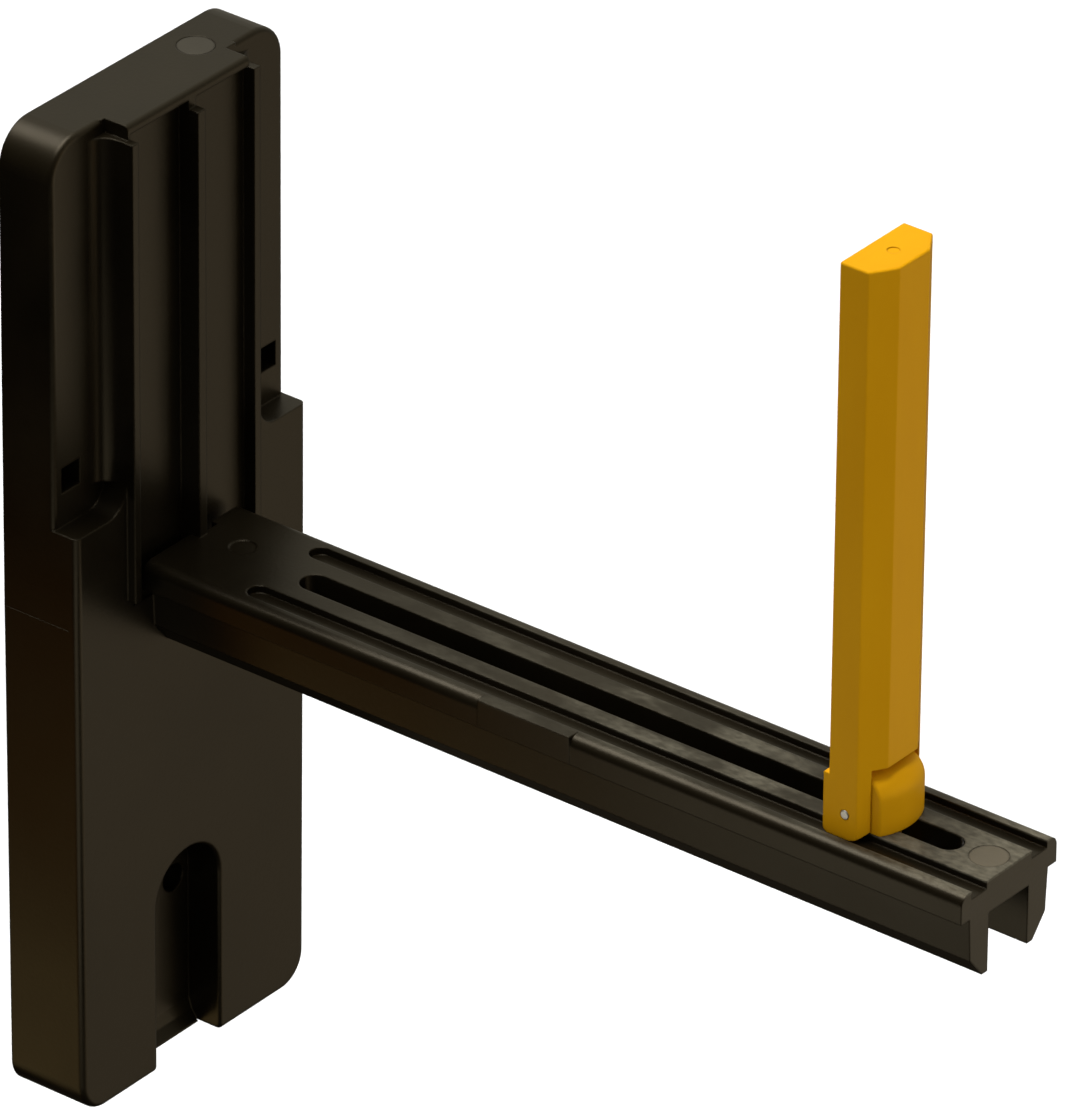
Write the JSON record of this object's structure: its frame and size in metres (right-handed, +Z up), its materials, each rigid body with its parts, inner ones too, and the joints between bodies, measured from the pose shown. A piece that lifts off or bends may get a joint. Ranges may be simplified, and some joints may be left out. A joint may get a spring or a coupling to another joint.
{
  "type": "label roll holder",
  "caption": "Wall-mounted label roll holder: black moulded plate and slotted arm, with a yellow fold-down guide that slides along the arm.",
  "frame": {"origin": "centre of the flat back face of the wall plate", "axes": "+Z up, -Y out from the wall along the arm, X along the width of the plate"},
  "size_m": [0.051, 0.1575, 0.1743],
  "materials": {
    "black_plastic": "satin",
    "yellow_plastic": "satin",
    "steel": "brushed"
  },
  "bodies": {
    "holder": {"holder_body": "black_plastic"},
    "slider": {"guide_slider": "yellow_plastic", "slide_keeper": "black_plastic", "keeper_screw": "steel", "friction_spring": "steel"},
    "flag": {"guide_flag": "yellow_plastic", "hinge_pin": "steel"}
  },
  "joints": [
    {"name": "guide_slide", "type": "slide", "parent": "holder", "child": "slider", "axis": [0, 1, 0], "range_m": [-0.0105, 0.0969]},
    {"name": "guide_fold", "type": "hinge", "parent": "slider", "child": "flag", "pos_m": [0, -0.1346, 0.0103], "axis": [1, 0, 0], "range_deg": [0, 74]}
  ]
}
